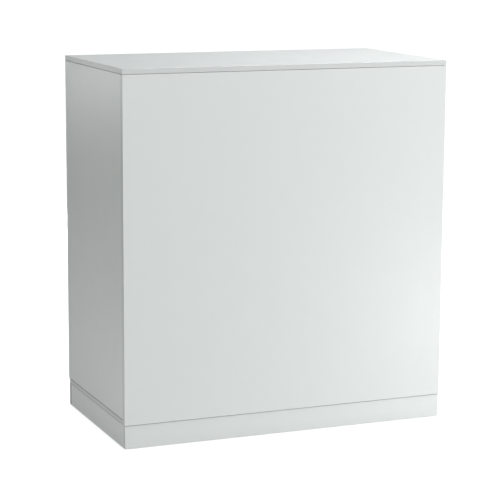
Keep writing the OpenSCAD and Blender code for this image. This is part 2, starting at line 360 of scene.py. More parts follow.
class GroupBench(Wiring):
    """A shader node group in the making, with its inputs and outputs."""

    def __init__(self, name: str, inputs: list[Plug], outputs: list[Plug]) -> None:
        """Start an empty group.

        Args:
            name: The group's name.
            inputs: What it takes in.
            outputs: What it puts out.
        """
        super().__init__(bpy.data.node_groups.new(name, "ShaderNodeTree"))
        for plugs, way in ((inputs, "INPUT"), (outputs, "OUTPUT")):
            for plug in plugs:
                socket = self.tree.interface.new_socket(
                    name=plug.name, in_out=way, socket_type=plug.kind.value
                )
                if plug.value is not None:
                    socket.default_value = plug.value
        self.given = self.tree.nodes.new("NodeGroupInput").outputs
        self.result = self.tree.nodes.new("NodeGroupOutput").inputs

    def put(self, name: str, value: object) -> None:
        """Feed one of the group's outputs."""
        self.feed(self.result[name], value)

    def per_metre(self, name: str) -> Socket:
        """Return the scale at which a pattern's cells have the size of a named input."""
        return self.maths("DIVIDE", 1.0, self.given[name])


WHERE = Plug("Vector", SocketKind.VECTOR)
MASK = Plug("Mask")
TONE = Plug("Tone")
HEIGHT = Plug("Height")
UPWARD = (0.0, 0.0, 1.0)


class SharedEffects:
    """The surface effects that several finishes use, each a shader node group made once."""

    @cached_property
    def board_sides(self) -> Tree:
        """Masks for the cut edges and the bare inner side of a board."""
        bench = GroupBench(
            "board_sides", [Plug("Inward", SocketKind.VECTOR)], [Plug("Edge"), Plug("Inside")]
        )
        along = bench.dot(bench.normal(), bench.given["Inward"])
        broad = bench.eased(bench.maths("ABSOLUTE", along), 0.3, 0.8)
        bench.put("Edge", bench.left_by(broad))
        bench.put("Inside", bench.eased(along, 0.6, 0.95))
        return bench.tree

    @cached_property
    def orange_peel(self) -> Tree:
        """The fine relief of sprayed lacquer and the slow waves of the board under it."""
        bench = GroupBench(
            "orange_peel",
            [WHERE, Plug("Peel Size", value=0.004), Plug("Wave Size", value=0.12)],
            [HEIGHT, TONE],
        )
        wave_share = 6.0
        clouds_per_wave = 2.6
        where = bench.given["Vector"]
        waves = bench.per_metre("Wave Size")
        peel = bench.noise(where, bench.per_metre("Peel Size"), 2.0, 0.45)
        wave = bench.noise(where, waves, 2.0, 0.4)
        relief = bench.maths("MULTIPLY_ADD", wave, wave_share, peel)
        cloud = bench.noise(where, bench.maths("MULTIPLY", waves, clouds_per_wave), 5.0, 0.6)
        bench.put("Height", relief)
        bench.put("Tone", bench.eased(cloud, 0.3, 0.7))
        return bench.tree

    @cached_property
    def edge_wear(self) -> Tree:
        """A mask of the places where the paint on an arris has rubbed thin."""
        bench = GroupBench(
            "edge_wear",
            [WHERE, Plug("Arris"), Plug("Amount", value=0.3), Plug("Patch Size", value=0.03)],
            [MASK],
        )
        rarest, commonest = 0.8, 0.4
        softness = 0.12
        patches = bench.noise(bench.given["Vector"], bench.per_metre("Patch Size"), 6.0, 0.7)
        lowered = bench.maths("MULTIPLY", bench.given["Amount"], rarest - commonest)
        start = bench.maths("SUBTRACT", rarest, lowered)
        rubbed = bench.eased(patches, start, bench.maths("ADD", start, softness))
        bench.put("Mask", bench.maths("MULTIPLY", rubbed, bench.given["Arris"]))
        return bench.tree

    @cached_property
    def settled_dust(self) -> Tree:
        """A mask of fine dust on whatever faces up."""
        bench = GroupBench(
            "settled_dust",
            [WHERE, Plug("Amount", value=0.3), Plug("Patch Size", value=0.08)],
            [MASK],
        )
        specks_per_metre = 900.0
        speck_share, cloud_share = 0.5, 0.6
        where = bench.given["Vector"]
        up = bench.eased(bench.dot(bench.normal(), UPWARD), 0.5, 1.0)
        cloud = bench.eased(bench.noise(where, bench.per_metre("Patch Size"), 4.0, 0.6), 0.35, 0.75)
        specks = bench.eased(bench.noise(where, specks_per_metre, 1.0), 0.62, 0.72)
        clouded = bench.maths("MULTIPLY", cloud, cloud_share)
        lying = bench.maths("MULTIPLY_ADD", specks, speck_share, clouded)
        held = bench.maths("MULTIPLY", lying, bench.given["Amount"])
        bench.put("Mask", bench.maths("MULTIPLY", held, up, clamp=True))
        return bench.tree

    @cached_property
    def floor_scuffs_and_darkening(self) -> Tree:
        """A mask of flat scuffs low on the plinth, where shoes and mops touch it, over a smooth darkening
        towards the floor.
        """
        bench = GroupBench(
            "floor_scuffs_and_darkening",
            [WHERE, Plug("Reach", value=0.07), Plug("Amount", value=0.3)],
            [MASK],
        )
        flat_streaks = (14.0, 14.0, 210.0)
        mark_share, low_darkening_share = 0.8, 0.2
        where = bench.given["Vector"]
        low = bench.left_by(bench.eased(bench.height_of(where), 0.0, bench.given["Reach"]))
        streaks = bench.noise(bench.stretched(where, flat_streaks), 1.0, 4.0, 0.65)
        marks = bench.eased(streaks, 0.6, 0.78)
        # Scuff streaks plus an even darkening that grows towards the floor.
        marks_and_low_darkening = bench.maths("MULTIPLY_ADD", marks, mark_share, bench.maths("MULTIPLY", low, low_darkening_share))
        held = bench.maths("MULTIPLY", marks_and_low_darkening, bench.given["Amount"])
        bench.put("Mask", bench.maths("MULTIPLY", held, low, clamp=True))
        return bench.tree

    @cached_property
    def painted_seam_shadow(self) -> Tree:
        """A mask of painted shadow along the line where two boards meet, standing in for the shade in the
        joint and under a board's edge.
        """
        bench = GroupBench(
            "painted_seam_shadow",
            [
                WHERE,
                Plug("Across", SocketKind.VECTOR),
                Plug("Place"),
                Plug("Ceiling", value=NO_CEILING),
                Plug("Half Width", value=1.0 * MM),
                Plug("Amount", value=1.0),
            ],
            [MASK],
        )
        given = bench.given
        solid_share = 0.6
        patches_per_metre = 30.0
        reach = bench.dot(given["Vector"], given["Across"])
        off = bench.maths("ABSOLUTE", bench.maths("SUBTRACT", reach, given["Place"]))
        start = bench.maths("MULTIPLY", given["Half Width"], solid_share)
        # Painted shadow: solid over most of the half width, fading at its edge, and patchy along the line.
        line = bench.left_by(bench.eased(off, start, given["Half Width"]))
        below = bench.maths("LESS_THAN", bench.height_of(given["Vector"]), given["Ceiling"])
        patchiness = bench.spread(bench.noise(given["Vector"], patches_per_metre, 3.0), 0.75, 1.1)
        held = bench.maths("MULTIPLY", bench.maths("MULTIPLY", line, below), given["Amount"])
        bench.put("Mask", bench.maths("MULTIPLY", held, patchiness, clamp=True))
        return bench.tree

    @cached_property
    def board_fibre(self) -> Tree:
        """The felted fibres of bare fibreboard."""
        bench = GroupBench(
            "board_fibre", [WHERE, Plug("Fibre Size", value=0.0012)], [TONE, HEIGHT]
        )
        flakes_per_fibre = 0.22
        where = bench.given["Vector"]
        scale = bench.per_metre("Fibre Size")
        fine = bench.noise(where, scale, 3.0, 0.7, 0.6)
        flake_scale = bench.maths("MULTIPLY", scale, flakes_per_fibre)
        flakes = bench.noise(where, flake_scale, 2.0, 0.5, 1.4)
        mixed = bench.maths("MULTIPLY_ADD", flakes, 0.5, bench.maths("MULTIPLY", fine, 0.5))
        bench.put("Tone", bench.eased(mixed, 0.32, 0.68))
        bench.put("Height", fine)
        return bench.tree

    @cached_property
    def timber_grain(self) -> Tree:
        """Growth rings round a pith line, the fibres along it, and small knots."""
        bench = GroupBench(
            "timber_grain",
            [
                WHERE,
                Plug("Along", SocketKind.VECTOR),
                Plug("Pith", SocketKind.VECTOR),
                Plug("Ring Width", value=0.003),
                Plug("Knot Radius", value=0.006),
            ],
            [Plug("Ring"), Plug("Fibre"), Plug("Knot"), Plug("Height")],
        )
        given = bench.given
        from_pith = bench.joined("SUBTRACT", given["Vector"], given["Pith"])
        length = bench.dot(from_pith, given["Along"])
        down_grain = bench.scaled(given["Along"], length)
        across = bench.joined("SUBTRACT", from_pith, down_grain)

        # The grain's own coordinates: fine across it, long along it
        fibres_per_metre = 1100.0
        drawn_out = 0.02
        fibre_place = bench.joined("ADD", across, bench.scaled(down_grain, drawn_out))
        fibre = bench.noise(fibre_place, fibres_per_metre, 3.0, 0.6)

        # Knots are spheres round scattered points, which also push the rings aside
        knots_per_metre = 17.0
        squeeze = -11.5
        knot_place = bench.stretched(given["Vector"], (knots_per_metre,) * 3)
        squeezed = bench.scaled(given["Along"], bench.maths("MULTIPLY", length, squeeze))
        knot_cells = bench.cells(bench.joined("ADD", knot_place, squeezed), 1.0)
        knot_far = bench.maths("DIVIDE", knot_cells.outputs["Distance"], knots_per_metre)
        heart, rim = (bench.maths("MULTIPLY", given["Knot Radius"], share) for share in (0.75, 1.25))
        knot = bench.left_by(bench.eased(knot_far, heart, rim))
        push = bench.maths("DIVIDE", 0.00004, bench.maths("ADD", knot_far, 0.004))

        sways_per_metre = 9.0
        sway_width = 0.012
        sway = bench.noise(bench.stretched(from_pith, (sways_per_metre,) * 3), 1.0, 2.0, 0.4)
        radius = bench.vector("LENGTH", across).outputs["Value"]
        bent = bench.maths("ADD", bench.maths("MULTIPLY_ADD", sway, sway_width, radius), push)
        turns = bench.maths("FRACT", bench.maths("DIVIDE", bent, given["Ring Width"]))
        late = bench.maths("MULTIPLY", bench.eased(turns, 0.35, 0.93), bench.eased(turns, 1.0, 0.94))

        height = bench.maths("MULTIPLY_ADD", late, 0.6, bench.maths("MULTIPLY", fibre, 0.7))
        bench.put("Ring", late)
        bench.put("Fibre", fibre)
        bench.put("Knot", knot)
        bench.put("Height", height)
        return bench.tree

    @cached_property
    def metal_grain(self) -> Tree:
        """The cloudy tone and fine scratches of plated steel."""
        turning_marks = (900.0, 900.0, 4200.0)
        bench = GroupBench("metal_grain", [WHERE, Plug("Cloud Size", value=0.006)], [TONE, HEIGHT])
        where = bench.given["Vector"]
        cloud = bench.noise(where, bench.per_metre("Cloud Size"), 5.0, 0.65)
        scratches = bench.noise(bench.stretched(where, turning_marks), 1.0, 2.0, 0.6)
        bench.put("Tone", bench.eased(cloud, 0.3, 0.7))
        bench.put("Height", bench.maths("MULTIPLY_ADD", scratches, 0.6, cloud))
        return bench.tree

    @cached_property
    def felt_fibres(self) -> Tree:
        """Matted wool fibres."""
        bench = GroupBench("felt_fibres", [WHERE, Plug("Fibre Size", value=0.0005)], [TONE, HEIGHT])
        scale = bench.per_metre("Fibre Size")
        along_x, along_y = (0.3, 1.0, 1.0), (1.0, 0.25, 1.0)
        layers = [
            bench.noise(bench.stretched(bench.given["Vector"], by), scale, 3.0, 0.7, 1.2)
            for by in (along_y, along_x)
        ]
        matted = bench.maths("MAXIMUM", *layers)
        bench.put("Tone", bench.eased(matted, 0.4, 0.75))
        bench.put("Height", matted)
        return bench.tree

    @cached_property
    def moulded_grain(self) -> Tree:
        """The fine spark texture of a plastic moulding."""
        bench = GroupBench("moulded_grain", [WHERE, Plug("Grain Size", value=0.0006)], [TONE, HEIGHT])
        where = bench.given["Vector"]
        pits = bench.cells(where, bench.per_metre("Grain Size")).outputs["Distance"]
        clouds_per_metre = 140.0
        cloud = bench.noise(where, clouds_per_metre, 4.0, 0.6)
        bench.put("Tone", bench.eased(cloud, 0.3, 0.7))
        bench.put("Height", pits)
        return bench.tree


FX = SharedEffects()


# -------------------------------------------------------------------- finishes


class Coat(Wiring):
    """One material in the making: its Principled shader and its coordinates."""

    def __init__(self, name: str) -> None:
        """Start a material.

        Args:
            name: The material's name.
        """
        self.material = bpy.data.materials.new(name)
        self.material.use_nodes = True
        super().__init__(self.material.node_tree)
        self.tree.nodes.clear()
        self.shader = self.node("BsdfPrincipled")
        self.surface = self.node("OutputMaterial").inputs["Surface"]
        self.feed(self.surface, self.shader.outputs["BSDF"])
        self.where = self.node("TexCoord").outputs["Object"]

    def show(self, name: str, value: object) -> None:
        """Feed one of the shader's inputs."""
        self.feed(self.shader.inputs[name], value)

    def effect(self, tree: Tree, **values: object) -> bpy.types.bpy_prop_collection:
        """Place a shared effect on the object's own coordinates, and return its outputs."""
        return self.group(tree, Vector=self.where, **values).outputs

    def relief(self, height: object, depth: float) -> None:
        """Feed a height to the shader's normal.

        Args:
            height: The relief, from 0 to 1.
            depth: What a height of 1 measures, in metres.
        """
        bump = self.node("Bump")
        bump.inputs["Strength"].default_value = 1.0
        bump.inputs["Distance"].default_value = depth
        self.feed(bump.inputs["Height"], height)
        self.show("Normal", bump.outputs["Normal"])

    def plain(self, **values: object) -> None:
        """Set sockets to values that are the same all over, with _ for a space in a name."""
        for key, value in values.items():
            self.shader.inputs[key.replace("_", " ")].default_value = value


@dataclass(frozen=True)
class SeamShadow:
    """A painted shadow line where two boards meet: the way across it, its place, and how dark it is."""

    across: Grain
    place: float
    amount: float
    half_width: float = 1.25 * MM
    ceiling: float = NO_CEILING


@dataclass(frozen=True)
class SatinPaint:
    """Sprayed satin lacquer on fibreboard, which is left bare inside the plinth."""

    paint: Colour = (0.779, 0.808, 0.806)
    cloudy_paint: Colour = (0.773, 0.802, 0.800)
    edge_paint: Colour = (0.683, 0.708, 0.706)
    undercoat: Colour = (0.60, 0.60, 0.57)
    bare_light: Colour = (0.55, 0.42, 0.28)
    bare_dark: Colour = (0.36, 0.25, 0.15)
    dust: Colour = (0.70, 0.69, 0.66)
    scuff_and_darkening: Colour = (0.42, 0.42, 0.41)
    # Near-black paint for the painted shadow along the seams
    seam_shadow: Colour = (0.10, 0.10, 0.095)
    sheen_low: float = 0.38
    sheen_high: float = 0.48
    bare_roughness: float = 0.85
    peel_depth: float = 0.000006
    peel_size: float = 3.5 * MM
    wave_size: float = 160.0 * MM
    fibre_size: float = 1.4 * MM
    fibre_relief: float = 12.0
    wear: float = 0.35
    wear_patch: float = 28.0 * MM
    dustiness: float = 0.16
    dust_patch: float = 90.0 * MM
    dust_dulling: float = 0.8
    scuffing_and_darkening: float = 0.28
    scuff_and_darkening_reach: float = 60.0 * MM
    scuff_dulling: float = 0.3

    def material(self, inward: Facing) -> Material:
        """Make the paint for boards whose inner side faces one way.

        Args:
            inward: Where the bare side faces.

        Returns:
            The material.
        """
        coat = Coat(f"satin_paint_{inward.name.lower()}")
        sides = coat.group(FX.board_sides, Inward=inward.value).outputs
        peel = coat.effect(FX.orange_peel, Peel_Size=self.peel_size, Wave_Size=self.wave_size)
        fibre = coat.effect(FX.board_fibre, Fibre_Size=self.fibre_size)
        arris = coat.node("Attribute", attribute_name="arris").outputs["Fac"]
        worn = coat.effect(FX.edge_wear, Arris=arris, Amount=self.wear, Patch_Size=self.wear_patch)
        rubbed = worn["Mask"]
        dusty = coat.effect(FX.settled_dust, Amount=self.dustiness, Patch_Size=self.dust_patch)["Mask"]
        scuffed_and_darkened = coat.effect(FX.floor_scuffs_and_darkening, Reach=self.scuff_and_darkening_reach, Amount=self.scuffing_and_darkening)["Mask"]

        colour = coat.blended(peel["Tone"], self.paint, self.cloudy_paint)
        colour = coat.blended(sides["Edge"], colour, self.edge_paint)
        colour = coat.blended(rubbed, colour, self.undercoat)
        colour = coat.blended(dusty, colour, self.dust)
        # Scuff streaks, and the boards darker towards the floor.
        colour = coat.blended(scuffed_and_darkened, colour, self.scuff_and_darkening)
        # Paint the shadow lines of the seams into the colour.
        for seam_shadow in self.seam_shadows(inward):
            colour = self.seam_shadowed(coat, colour, seam_shadow)
        bare = coat.blended(fibre["Tone"], self.bare_light, self.bare_dark)
        colour = coat.blended(sides["Inside"], colour, bare)
        coat.show("Base Color", colour)

        sheen = coat.spread(peel["Tone"], self.sheen_low, self.sheen_high)
        sheen = coat.maths("MULTIPLY_ADD", scuffed_and_darkened, self.scuff_dulling, sheen)
        dusted = coat.maths("MULTIPLY", dusty, self.dust_dulling)
        dull = coat.maths("MAXIMUM", sides["Inside"], dusted)
        kept = coat.maths("MULTIPLY", sheen, coat.left_by(dull))
        coat.show("Roughness", coat.maths("MULTIPLY_ADD", dull, self.bare_roughness, kept))

        smooth = coat.maths("MULTIPLY", peel["Height"], coat.left_by(sides["Inside"]))
        furry = coat.maths("MULTIPLY", fibre["Height"], sides["Inside"])
        coarse = coat.maths("MULTIPLY", furry, self.fibre_relief)
        coat.relief(coat.maths("ADD", smooth, coarse), self.peel_depth)
        return coat.material

    def seam_shadows(self, inward: Facing) -> list[SeamShadow]:
        """List the painted seam shadows on the boards of one facing.

        Args:
            inward: Where their bare side faces.

        Returns:
            The painted shadow lines over and under the deck, and at the back corners of the base.
        """
        under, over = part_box("deck")
        if inward is Facing.DOWN:
            return []
        if inward is Facing.BACK:
            # Painted shadow in the shadow gap between the front panel and the base.
            shadow_gap = (under.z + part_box("front_panel")[0].z) / 2
            return [SeamShadow(Grain.ALONG_Z, place=shadow_gap, amount=0.5)]
        # Painted shadow under the side panels' lower edge, over the deck's band, and a fainter one between
        # deck and base.
        over_deck = SeamShadow(Grain.ALONG_Z, place=over.z - 0.3 * MM, amount=1.0, half_width=2.3 * MM)
        found = [over_deck, SeamShadow(Grain.ALONG_Z, place=under.z, amount=0.2)]
        if inward is not Facing.UP:
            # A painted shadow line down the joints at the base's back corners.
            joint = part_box("base_board_left")[1].y
            found.append(SeamShadow(Grain.ALONG_Y, joint, amount=1.0, half_width=2.0 * MM, ceiling=under.z))
        return found

    def seam_shadowed(self, coat: Coat, colour: Socket, seam_shadow: SeamShadow) -> Socket:
        """Paint the shadow of one seam.

        Args:
            coat: The material in the making.
            colour: Its colour so far.
            seam_shadow: The seam's painted shadow line.

        Returns:
            The colour with the seam's painted shadow.
        """
        line = coat.effect(
            FX.painted_seam_shadow,
            Across=seam_shadow.across.value,
            Place=seam_shadow.place,
            Ceiling=seam_shadow.ceiling,
            Half_Width=seam_shadow.half_width,
            Amount=seam_shadow.amount,
        )
        # Blend the near-black painted shadow into the colour.
        return coat.blended(line["Mask"], colour, self.seam_shadow)


@dataclass(frozen=True)
class PlanedTimber:
    """Planed softwood or hardwood, with rings, fibres and knots."""

    name: str
    early: Colour
    late: Colour
    knot: Colour
    ring_width: float
    knot_radius: float
    roughness: float
    depth: float
    pith_off: tuple[float, float] = (18.0 * MM, 70.0 * MM)
    ring_spread: tuple[float, float] = (0.8, 1.25)
    ring_strength: float = 0.75
    streak_strength: float = 0.35
    fibre_roughness: float = 0.2

    def material(self, grain: Grain, middle: Vector, label: str) -> Material:
        """Make the timber of one stick, sawn from its own part of the log.

        Args:
            grain: Which way the stick's grain runs.
            middle: The middle of the stick.
            label: The stick's name, which also settles where its pith lies.

        Returns:
            The material.
        """
        draw = random.Random(label)
        angle = draw.uniform(0.0, math.tau)
        away = draw.uniform(*self.pith_off)
        along = Vector(grain.value)
        side = along.orthogonal().normalized()
        pith = middle + Matrix.Rotation(angle, 3, along) @ side * away

        coat = Coat(f"{self.name}_{label}")
        timber = coat.effect(
            FX.timber_grain,
            Along=grain.value,
            Pith=tuple(pith),
            Ring_Width=self.ring_width * draw.uniform(*self.ring_spread),
            Knot_Radius=self.knot_radius,
        )
        rings = coat.maths("MULTIPLY", timber["Ring"], self.ring_strength)
        colour = coat.blended(rings, self.early, self.late)
        streaks = coat.maths("MULTIPLY", coat.eased(timber["Fibre"], 0.45, 0.75), self.streak_strength)
        colour = coat.blended(streaks, colour, self.late)
        colour = coat.blended(timber["Knot"], colour, self.knot)
        coat.show("Base Color", colour)
        rough = coat.maths("MULTIPLY_ADD", timber["Fibre"], self.fibre_roughness, self.roughness)
        coat.show("Roughness", rough)
        coat.relief(timber["Height"], self.depth)
        return coat.material


@dataclass(frozen=True)
class PlatedSteel:
    """Bright zinc plating on steel."""

    name: str
    bright: Colour
    dull: Colour
    rough_low: float
    rough_high: float
    cloud_size: float = 4.0 * MM
    depth: float = 0.01 * MM

    def material(self) -> Material:
        """Make the plating."""
        coat = Coat(self.name)
        grain = coat.effect(FX.metal_grain, Cloud_Size=self.cloud_size)
        coat.show("Base Color", coat.blended(grain["Tone"], self.bright, self.dull))
        rough = coat.spread(grain["Tone"], self.rough_low, self.rough_high)
        coat.show("Roughness", rough)
        coat.plain(Metallic=1.0)
        coat.relief(grain["Height"], self.depth)
        return coat.material


@dataclass(frozen=True)
class WoolFelt:
    """Dark pressed felt."""

    light: Colour = (0.075, 0.075, 0.08)
    dark: Colour = (0.03, 0.03, 0.033)
    fibre_size: float = 0.4 * MM
    depth: float = 0.15 * MM

    def material(self) -> Material:
        """Make the felt."""
        coat = Coat("wool_felt")
        fibres = coat.effect(FX.felt_fibres, Fibre_Size=self.fibre_size)
        coat.show("Base Color", coat.blended(fibres["Tone"], self.dark, self.light))
        coat.show("Roughness", coat.spread(fibres["Tone"], 0.9, 1.0))
        coat.plain(Sheen_Weight=0.35)
        coat.relief(fibres["Height"], self.depth)
        return coat.material


@dataclass(frozen=True)
class MouldedNylon:
    """Black moulded nylon with a fine spark texture."""

    light: Colour = (0.032, 0.032, 0.034)
    dark: Colour = (0.018, 0.018, 0.020)
    dust: Colour = (0.3, 0.29, 0.27)
    grain_size: float = 0.7 * MM
    depth: float = 0.04 * MM
    dustiness: float = 0.25
    dust_patch: float = 20.0 * MM

    def material(self) -> Material:
        """Make the moulding."""
        coat = Coat("moulded_nylon")
        grain = coat.effect(FX.moulded_grain, Grain_Size=self.grain_size)
        dusty = coat.effect(FX.settled_dust, Amount=self.dustiness, Patch_Size=self.dust_patch)["Mask"]
        colour = coat.blended(grain["Tone"], self.dark, self.light)
        coat.show("Base Color", coat.blended(dusty, colour, self.dust))
        coat.show("Roughness", coat.spread(grain["Tone"], 0.42, 0.58))
        coat.relief(grain["Height"], self.depth)
        return coat.material


PAINT = SatinPaint()
PINE = PlanedTimber(
    name="pine",
    early=(0.66, 0.47, 0.27),
    late=(0.43, 0.24, 0.10),
    knot=(0.17, 0.075, 0.03),
    ring_width=3.2 * MM,
    knot_radius=5.5 * MM,
    roughness=0.52,
    depth=0.06 * MM,
)
BEECH = PlanedTimber(
    name="beech",
    early=(0.55, 0.35, 0.19),
    late=(0.44, 0.25, 0.12),
    knot=(0.30, 0.16, 0.07),
    ring_width=1.6 * MM,
    knot_radius=0.1 * MM,
    roughness=0.5,
    depth=0.03 * MM,
)
ZINC = PlatedSteel("zinc_plate", (0.66, 0.67, 0.68), (0.50, 0.51, 0.52), 0.24, 0.42)
BRASSY_ZINC = PlatedSteel("yellow_zinc_plate", (0.70, 0.60, 0.40), (0.56, 0.47, 0.30), 0.26, 0.44)


# ------------------------------------------------------------------ mesh making


def piece(name: str, bm: bmesh.types.BMesh, sharp_deg: float | None = 35.0) -> Object3D:
    """Turn a bmesh into an object at the origin, shaded smooth between sharp edges.

    Args:
        name: The object's name.
        bm: The mesh, which is freed.
        sharp_deg: Edges that turn more than this stay sharp; None keeps none.

    Returns:
        The new object, linked to the scene.
    """
    bmesh.ops.recalc_face_normals(bm, faces=bm.faces)
    for face in bm.faces:
        face.smooth = True
    if sharp_deg is not None:
        for edge in bm.edges:
            edge.smooth = edge.calc_face_angle(0.0) < math.radians(sharp_deg)
    mesh = bpy.data.meshes.new(name)
    bm.to_mesh(mesh)
    bm.free()
    made = bpy.data.objects.new(name, mesh)
    bpy.context.scene.collection.objects.link(made)
    return made


def rounded_board(name: str, low: Vector, high: Vector, radius: float, steps: int = 4) -> Object3D:
    """Build a board with rounded arrises, and mark the arrises for the wear.

    Args:
        name: The object's name.
        low: Its lowest corner.
        high: Its highest corner.
        radius: Radius of the arrises.
        steps: Facets round each arris.

    Returns:
        The board.
    """
    bm = bmesh.new()
    bmesh.ops.create_cube(bm, size=1.0)
    size = high - low
    middle = (high + low) / 2
    for vert in bm.verts:
        vert.co = middle + Vector(a * b for a, b in zip(vert.co, size))
    bmesh.ops.bevel(
        bm, geom=bm.edges[:], offset=radius, segments=steps, profile=0.5, affect="EDGES", clamp_overlap=True
    )
    arris = bm.verts.layers.float.new("arris")
    for vert in bm.verts:
        vert[arris] = 1.0
    sides = 6
    for broad in sorted(bm.faces, key=lambda face: face.calc_area())[-sides:]:
        for vert in broad.verts:
            vert[arris] = 0.0
    made = piece(name, bm, None)
    weighted = made.modifiers.new("board_normals", "WEIGHTED_NORMAL")
    weighted.mode = "FACE_AREA"
    weighted.weight = 100
    return made


def turned(
    name: str, profile: Profile, centre: Vector, steps: int, shape: Shaper | None = None
) -> Object3D:
    """Turn a profile round an upright line into one closed skin.

    Args:
        name: The object's name.
        profile: Radius and height of each ring, from one pole to the other.
        centre: The foot of the line.
        steps: Corners of each ring.
        shape: Changes a ring's radius and height by the angle round it.

    Returns:
        The turned piece.
    """
    bm = bmesh.new()
    rings = []
    for radius, height in profile:
        if radius == 0.0:
            rings.append([bm.verts.new(centre + Vector((0.0, 0.0, height)))])
            continue
        ring = []
        for k in range(steps):
            angle = math.tau * k / steps
            r, z = shape(radius, height, angle) if shape else (radius, height)
            ring.append(bm.verts.new(centre + Vector((r * math.cos(angle), r * math.sin(angle), z))))
        rings.append(ring)
    for lower, upper in zip(rings, rings[1:]):
        for k in range(steps):
            after = (k + 1) % steps
            if len(lower) == 1:
                bm.faces.new((lower[0], upper[k], upper[after]))
            elif len(upper) == 1:
                bm.faces.new((lower[k], lower[after], upper[0]))
            else:
                bm.faces.new((lower[k], lower[after], upper[after], upper[k]))
    return piece(name, bm)


def dress(made: Object3D, material: Material) -> Object3D:
    """Give every material slot of an object one finish.

    Args:
        made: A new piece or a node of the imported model.
        material: The finish.

    Returns:
        The same object.
    """
    if not made.material_slots:
        made.data.materials.append(material)
    for held in made.material_slots:
        held.material = material
    return made


def mount(made: Object3D, body: str, slot: Slot, *nodes: str) -> Object3D:
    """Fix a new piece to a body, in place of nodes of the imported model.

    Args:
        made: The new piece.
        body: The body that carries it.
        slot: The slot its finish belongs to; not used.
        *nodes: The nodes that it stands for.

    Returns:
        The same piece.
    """
    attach(made, body)
    if nodes:
        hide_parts(*nodes)
    return made


def dress_sticks(names: list[str], grain: Grain, timber: PlanedTimber) -> list[Object3D]:
    """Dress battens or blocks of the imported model, each sawn from its own part of a log.

    Args:
        names: The nodes.
        grain: Which way their grain runs.
        timber: Their finish.

    Returns:
        The dressed nodes.
    """
    done = []
    for name in names:
        low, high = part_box(name)
        done.append(dress(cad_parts[name], timber.material(grain, (low + high) / 2, name)))
    return done


# ------------------------------------------------------------- sub-assemblies


@dataclass(frozen=True)
class PaintedBoard:
    """One painted board: its own name, the node it stands for, and its bare side."""

    name: str
    node: str
    inward: Facing
    lower_gap: float = 0.0
    radius: float = 0.6 * MM

    def build(self, body: str) -> Object3D:
        """Build the board, paint it, and fix it to a body.

        Args:
            body: The body that carries it.

        Returns:
            The board.
        """
        low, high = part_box(self.node)
        low = low + Vector((0.0, 0.0, self.lower_gap))
        made = rounded_board(self.name, low, high, self.radius)
        dress(made, paint_for(self.inward))
        return mount(made, body, Slot.PAINT, self.node)


def paint_for(inward: Facing) -> Material:
    """Return the paint for one facing, made the first time it is asked for."""
    found = bpy.data.materials.get(f"satin_paint_{inward.name.lower()}")
    return found or PAINT.material(inward)


@dataclass
class LiftOffTop:
    """The top panel with the four battens that drop into the frame."""

    body: str = "lid"
    slab: PaintedBoard = PaintedBoard("top_slab", "top_panel", Facing.DOWN)
    battens: tuple[str, ...] = (
        "lid_batten_left",
        "lid_batten_mid_left",
        "lid_batten_mid_right",
        "lid_batten_right",
    )

    def build(self) -> list[Object3D]:
        """Build the top.

        Returns:
            Its pieces.
        """
        pieces = [self.slab.build(self.body)]
        pieces += dress_sticks(list(self.battens), Grain.ALONG_Y, PINE)
        pieces.append(dress(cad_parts["lid_screws"], BRASSY_ZINC.material()))
        return pieces


@dataclass
class BoardBox:
    """The four upright panels and the deck that they stand on."""

    body: str = "box"
    panels: tuple[PaintedBoard, ...] = (
        PaintedBoard("front_face_board", "front_panel", Facing.BACK),
        PaintedBoard("back_face_board", "back_panel", Facing.FRONT),
        PaintedBoard("left_face_board", "side_panel_left", Facing.RIGHT, 1.0 * MM),
        PaintedBoard("right_face_board", "side_panel_right", Facing.LEFT, 1.0 * MM),
    )

    def build(self) -> list[Object3D]:
        """Build the panels and paint the deck.

        Returns:
            The pieces.
        """
        pieces = [panel.build(self.body) for panel in self.panels]
        pieces.append(dress(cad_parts["deck"], paint_for(Facing.UP)))
        return pieces


